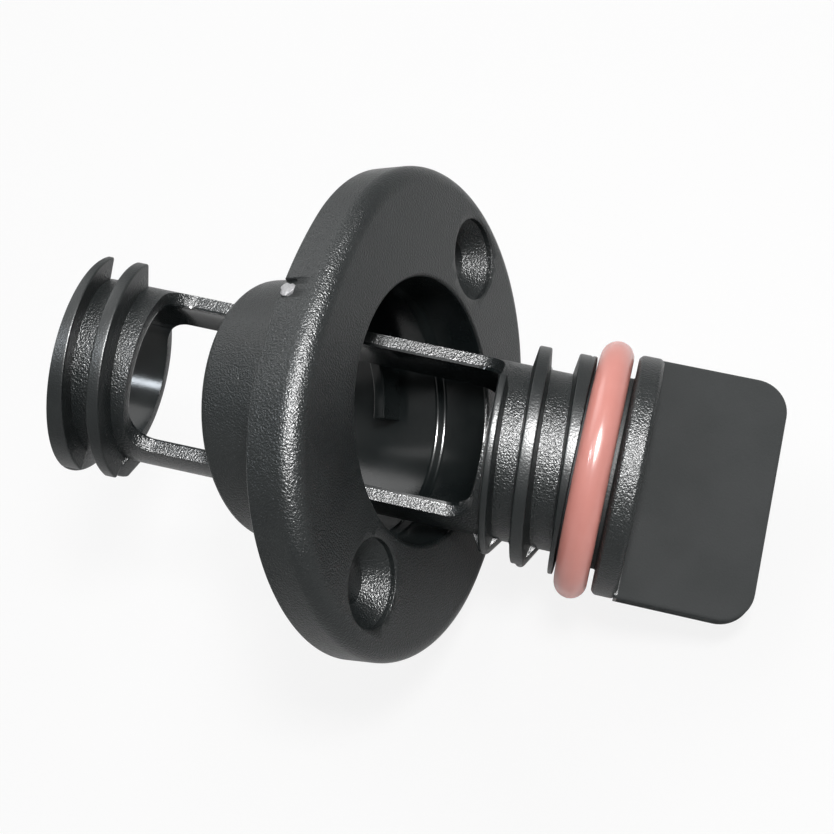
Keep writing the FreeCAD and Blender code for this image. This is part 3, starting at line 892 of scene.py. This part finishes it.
@dataclass
class Plug:
    """Tail ring, two legs, threaded body, seal groove, collar and flat handle in one moulding.

    Stations are counted along the plug's axis from where it crosses the bore's axis.
    """

    axes: Axes
    tail_end: float = -26.4
    near_window_rear: float = -18.9
    far_window_rear: float = -21.25
    window_front: float = 19.0
    window_corner: float = 3.0
    window_edge: float = 0.16
    leg_half_width: float = 3.15
    core_radius: float = 9.5
    tail_radius: float = 9.7
    tube_wall: float = 1.4
    wall_rear: float = 27.7
    wall_round: float = 0.15
    groove_rear: float = 28.2
    groove_floor_radius: float = 10.29
    collar_rear: float = 32.5
    collar_face: float = 35.2
    collar_radius: float = 12.9
    collar_edge: float = 0.4
    small_round: float = 0.2
    end_wall: float = 3.4
    end_round: float = 0.5
    body_crest_radius: float = 11.8
    entry_crest_radius: float = 11.3
    tail_crest_radius: float = 12.2
    tail_far_drop: float = 0.5
    pitch: float = 4.0
    handle_root: float = 0.3
    handle_length: float = 13.6
    handle_width: float = 26.3
    handle_thickness: float = 2.8
    handle_corner: float = 3.5
    handle_edge: float = 0.4
    tail_tooth_middle: float = -22.8
    tail_tooth_start: float = 27.0
    tail_far_turns: float = 0.055
    lip_width: float = 3.0
    lip_narrowing: float = 0.4
    lip_far_turns: float = 0.3
    body_tooth_middle: float = 22.45
    far_shift: float = 0.1
    entry_start: float = 62.0
    entry_shift: float = 0.3
    entry_root_width: float = 1.5
    entry_crest_width: float = 0.75
    run_out_start: float = 340.0
    run_out_shift: float = 0.35
    zone_margin: float = 0.1
    crest_depth: float = 0.15
    columns: int = 216

    def tube(self) -> Shell:
        """The turned form: tube, wall before the seal, groove and collar, closed at the handle.

        Each row of the profile has a station, a radius and how much its corner is rounded.

        Returns:
            The closed shell on the plug's own axes.
        """
        face, rear, rim = self.collar_face, self.collar_rear, self.collar_radius
        edge, small, wall = self.collar_edge, self.small_round, self.wall_round
        profile = np.array([
            (face, rim - edge, small), (face - edge, rim, small),
            (rear + edge, rim, small), (rear, rim - edge, small),
            (rear, self.groove_floor_radius, small),
            (self.groove_rear, self.groove_floor_radius, small),
            (self.groove_rear, self.body_crest_radius, wall),
            (self.wall_rear, self.body_crest_radius, wall),
            (self.wall_rear, self.core_radius, small),
            (self.tail_end, self.tail_radius, small),
            (self.tail_end, self.tail_radius - self.tube_wall, small),
            (face - self.end_wall, self.core_radius - self.tube_wall, self.end_round),
        ])
        return turned(rounded(profile[:, :2], profile[:, 2]), self.columns)

    def window_tool(self, side: int, rear: float) -> Piece:
        """The volume of one window: its outline, rounded beside the leg, carried across the plug.

        Args:
            side: 1 for the near window, -1 for the far one.
            rear: Station of the window's rear end.

        Returns:
            A closed mesh object in the row frame.
        """
        beyond = 2 * self.core_radius
        front, leg, size = self.window_front, self.leg_half_width, self.window_corner
        turn = quarter_turn(12)
        drawn, raised = size * (1 - np.cos(turn)), size * (1 - np.sin(turn))
        loop = np.concatenate([
            points_of(rear + drawn, leg + raised), points_of(front - raised, leg + drawn),
            np.array([(front, beyond), (rear, beyond)]),
        ])
        across = np.linspace(-beyond, beyond, 2)[:, None]
        window = swept(points_of(loop[:, 0], across, side * loop[:, 1]))
        return make_piece("window_tool", [window.moved(self.axes)])

    def tooth(self, half: MouldHalf, start: float, turns: float, middle: float,
              crest_radius: float, **changes: float) -> Tooth:
        """A tooth of the plug's thread, its root a little way inside the tube's wall.

        Args:
            half: The mould half that forms it.
            start: Its first angle in degrees.
            turns: Its length in turns.
            middle: Station of its middle at the first angle.
            crest_radius: Its crest.
            **changes: Other fields of the tooth.

        Returns:
            The tooth.
        """
        root_width, crest_width = half.value
        shape = {"root_width": root_width, "crest_width": crest_width, **changes}
        return Tooth(start=start, turns=turns, middle=middle, crest_radius=crest_radius,
                     root_radius=self.core_radius - self.tube_wall / 4, pitch=self.pitch, **shape)

    def teeth(self) -> list[Tooth]:
        """All teeth of the tail ring and of the body.

        A tooth that goes on from an angle a stands at its thread's middle + pitch a / 360.

        Returns:
            The teeth, from the tail's lip to the one that runs out into the wall.
        """
        near, far = MouldHalf.NEAR, MouldHalf.FAR
        tail, body, pitch = self.tail_tooth_middle, self.body_tooth_middle, self.pitch
        first, entry, out = self.tail_tooth_start, self.entry_start, self.run_out_start
        near_turns = (HALF_TURN - first) / FULL_TURN
        tail_start = tail + pitch * first / FULL_TURN
        lip_middle = tail_start - pitch - (self.lip_width - near.value[1]) / 2
        entry_middle = body + self.entry_shift - pitch * (FULL_TURN - entry) / FULL_TURN
        out_middle = body + self.run_out_shift + pitch * out / FULL_TURN
        tail_crest, entry_crest = self.tail_crest_radius, self.entry_crest_radius
        crest = self.body_crest_radius
        end, low, high = self.tail_end, self.window_front, self.groove_rear
        return [
            self.tooth(near, first, near_turns, lip_middle, tail_crest, low_limit=end,
                       root_width=self.lip_width - self.lip_narrowing, crest_width=self.lip_width),
            self.tooth(far, HALF_TURN, self.lip_far_turns, end, tail_crest, low_limit=end),
            self.tooth(near, first, near_turns, tail_start, tail_crest),
            self.tooth(far, HALF_TURN, self.tail_far_turns, tail + pitch / 2,
                       tail_crest - self.tail_far_drop),
            self.tooth(near, entry, (HALF_TURN - entry) / FULL_TURN, entry_middle, entry_crest,
                       low_limit=low, root_width=self.entry_root_width,
                       crest_width=self.entry_crest_width),
            self.tooth(far, HALF_TURN, 0.5, body - pitch / 2 + self.far_shift, entry_crest,
                       low_limit=low),
            self.tooth(near, 0.0, 0.5, body, crest),
            self.tooth(far, HALF_TURN, (out - HALF_TURN) / FULL_TURN,
                       body + pitch / 2 + self.far_shift, crest, high_limit=high),
            self.tooth(near, out, (FULL_TURN + HALF_TURN - out) / FULL_TURN, out_middle, crest,
                       high_limit=high),
        ]

    def handle(self) -> Shell:
        """The flat handle: its rounded outline carried over the thickness, drawn in at both faces.

        At the angle q of a face's rounded edge the outline is drawn in by edge (1 - sin q) and
        stands at thickness / 2 - edge (1 - cos q).

        Returns:
            The closed shell on the plug's own axes.
        """
        corner, half = self.handle_corner, self.handle_width / 2
        along = self.collar_face + self.handle_length - corner
        across = half - corner
        quarter = quarter_turn(6)
        drawn_in = self.handle_edge * (1 - np.sin(quarter))
        level = self.handle_thickness / 2 - self.handle_edge * (1 - np.cos(quarter))
        inset = np.concatenate([drawn_in, drawn_in[::-1]])[:, None]
        levels = np.concatenate([level, -level[::-1]])[:, None]
        turn = quarter_turn(14)
        size = corner - inset
        loops = np.concatenate([
            points_of(along + size * np.sin(turn), -across - size * np.cos(turn)),
            points_of(along + size * np.cos(turn), across + size * np.sin(turn)),
            points_of(self.collar_face - self.handle_root, (half - inset) * np.array([1.0, -1.0])),
        ], axis=1)
        return swept(points_of(loops[..., 0], loops[..., 1], levels))

    def zones(self) -> tuple[MouldZone, ...]:
        """The regions of the plug's mould that weren't eroded like the rest.

        Returns:
            The inside of the tube, the thread's crests, the seal's groove, and the handle.
        """
        margin, everywhere = self.zone_margin, (0.0, BEYOND)
        groove = self.groove_rear + margin
        inner = self.tail_radius - self.tube_wall + margin
        crest = self.entry_crest_radius - self.crest_depth
        return (
            MouldZone((0.0, inner), (-BEYOND, self.collar_face - 1.0), ToolFinish.POLISHED),
            MouldZone((crest, BEYOND), (-BEYOND, groove), ToolFinish.FINE),
            MouldZone(everywhere, (groove, self.collar_rear - margin), ToolFinish.SATIN),
            MouldZone(everywhere, (self.collar_face + margin, BEYOND), ToolFinish.MATT),
        )

    def build(self) -> Piece:
        """Makes the plug, dressed, on its body.

        Returns:
            The finished piece.
        """
        piece = make_piece("plug_moulding", [self.tube().moved(self.axes)])
        cut_away(piece, self.window_tool(1, self.near_window_rear))
        cut_away(piece, self.window_tool(-1, self.far_window_rear))
        soften_edges(piece, self.window_edge)
        shells = [tooth.shell() for tooth in self.teeth()] + [self.handle()]
        complete(piece, [shell.moved(self.axes) for shell in shells])
        finish = BlackPlastic("black_plastic_plug", self.zones())
        return dress(piece, finish.material(self.axes), "plug", "plug")


@dataclass
class Seal:
    """The O-ring in the plug's groove."""

    axes: Axes
    station: float = 30.25
    inner_radius: float = 10.35
    section_radius: float = 1.765
    flash_height: float = 0.012
    flash_spread: float = 0.05
    section_points: int = 72
    columns: int = 288

    def ring(self) -> Shell:
        """A ring surface with the faint line that the mould's joint leaves round its outside.

        Round the section by t the radius is section + height (exp(-(t / spread)^2) - 1), and the
        section turns about the plug's axis.

        Returns:
            The closed shell on the plug's own axes.
        """
        turn = np.linspace(-math.pi, math.pi, self.section_points, endpoint=False)
        line = self.flash_height * np.exp(-((turn / self.flash_spread) ** 2))
        size = self.section_radius - self.flash_height + line
        middle = self.inner_radius + self.section_radius
        points = about_axis(self.station + size * np.sin(turn), middle + size * np.cos(turn),
                            full_circle(self.columns)[:, None])
        return Shell(points.reshape(-1, 3), grid_quads(self.columns, self.section_points, True))

    def build(self) -> Piece:
        """Makes the O-ring, dressed, on its body."""
        piece = make_piece("seal_ring", [self.ring().moved(self.axes)])
        return dress(piece, SealRubber().material(), "seal", "o_ring")


# Studio


@dataclass(frozen=True)
class Lamp:
    """A square soft lamp that faces the object.

    Its place is right, up and back along the camera's own directions from the object's middle,
    times further. Its power is in watts. A lamp for glints shows only in the gloss of a surface.
    """

    name: str
    place: Place
    side: float
    power: float
    further: float = 1.0
    glint_only: bool = False
    tint: Place = (1.0, 1.0, 1.0)


@dataclass
class Studio:
    """Camera, lamps, floor and surroundings.

    The camera's sides are its directions right, up and back; its clip distances are in metres.
    """

    camera_place: Place = (75.72, -66.96, 106.64)
    camera_sides: tuple[Place, Place, Place] = (
        (0.86942, 0.26728, -0.41555), (-0.00689, 0.84753, 0.53071), (0.49403, -0.45854, 0.7387),
    )
    camera_clip: Span = (0.005, 20.0)
    focal_pixels: float = 1376.375
    sensor_width: float = 36.0
    floor_drop: float = 27.0
    floor_half: float = 6000.0
    surroundings: float = 0.22
    reflected_surroundings: float = 0.7
    lamps: tuple[Lamp, ...] = (
        Lamp("flash", (15.0, 78.0, 206.0), 46.0, 0.30),
        Lamp("flash_glint", (15.0, 78.0, 206.0), 34.0, 3.0, further=1.02, glint_only=True),
        Lamp("window_glint", (-127.0, 80.0, 190.0), 34.0, 0.20, glint_only=True,
             tint=(0.86, 0.93, 1.0)),
        Lamp("overhead", (-150.0, 225.0, 30.0), 200.0, 0.36),
    )

    def camera(self) -> None:
        """Makes the camera where the picture was taken."""
        data = bpy.data.cameras.new("camera")
        data.sensor_width = self.sensor_width
        data.lens = self.focal_pixels / PICTURE_SIDE * self.sensor_width
        data.clip_start, data.clip_end = self.camera_clip
        camera = placed("camera", data)
        turn = Matrix(self.camera_sides).transposed()
        stand = Matrix.Translation(Vector(self.camera_place) * MILLIMETRE)
        camera.matrix_world = stand @ turn.to_4x4()
        bpy.context.scene.camera = camera

    def light(self, lamp: Lamp) -> None:
        """Puts a lamp in its place, turned towards the object.

        Args:
            lamp: The lamp.
        """
        data = bpy.data.lights.new(lamp.name, "AREA")
        data.shape = "SQUARE"
        data.size = lamp.side * MILLIMETRE
        data.energy = lamp.power
        data.color = lamp.tint
        right, up, back = (Vector(side) * far for side, far in zip(self.camera_sides, lamp.place))
        place = (right + up + back) * MILLIMETRE * lamp.further
        turn = place.to_track_quat("Z", "Y").to_matrix().to_4x4()
        stand = placed(lamp.name, data)
        stand.matrix_world = Matrix.Translation(place) @ turn
        stand.visible_diffuse = not lamp.glint_only

    def floor(self) -> None:
        """A pale floor well under the object."""
        half, level = self.floor_half * MILLIMETRE, -self.floor_drop * MILLIMETRE
        corners = [(-half, -half), (half, -half), (half, half), (-half, half)]
        mesh = bpy.data.meshes.new("floor")
        mesh.from_pydata([(*corner, level) for corner in corners], [], [(0, 1, 2, 3)])
        mesh.materials.append(PaleFloor().material())
        floor = placed("floor", mesh)

    def world(self) -> None:
        """Soft surroundings: plain white to the camera, dimmer to reflections and as light."""
        shading = Shading(bpy.data.worlds.new("surroundings"), "OutputWorld")
        path = shading.add("LightPath").outputs
        strength = shading.number("MAXIMUM", path["Is Camera Ray"], shading.between(
            path["Is Glossy Ray"], self.surroundings, self.reflected_surroundings))
        white = shading.add("Background", Color=(1.0, 1.0, 1.0, 1.0), Strength=strength)
        bpy.context.scene.world = shading.finish(white)

    def build(self) -> None:
        """Sets up the whole studio."""
        self.camera()
        for lamp in self.lamps:
            self.light(lamp)
        self.floor()
        self.world()
        bpy.context.scene.view_settings.view_transform = "Standard"


def main() -> None:
    """Builds the pieces and the studio."""
    logging.basicConfig(level=logging.INFO, format="%(name)s: %(message)s")
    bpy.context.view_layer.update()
    hanging = Axes(crossing=(-7.82, -0.17, 0.0), roll=12.8, droop=23.8, sidestep=1.2)
    for maker in (Housing(), Plug(hanging), Seal(hanging)):
        piece = maker.build()
        LOG.info("%s: %d faces", piece.name, len(piece.data.polygons))
    Studio().build()


if __name__ == "__main__":
    main()
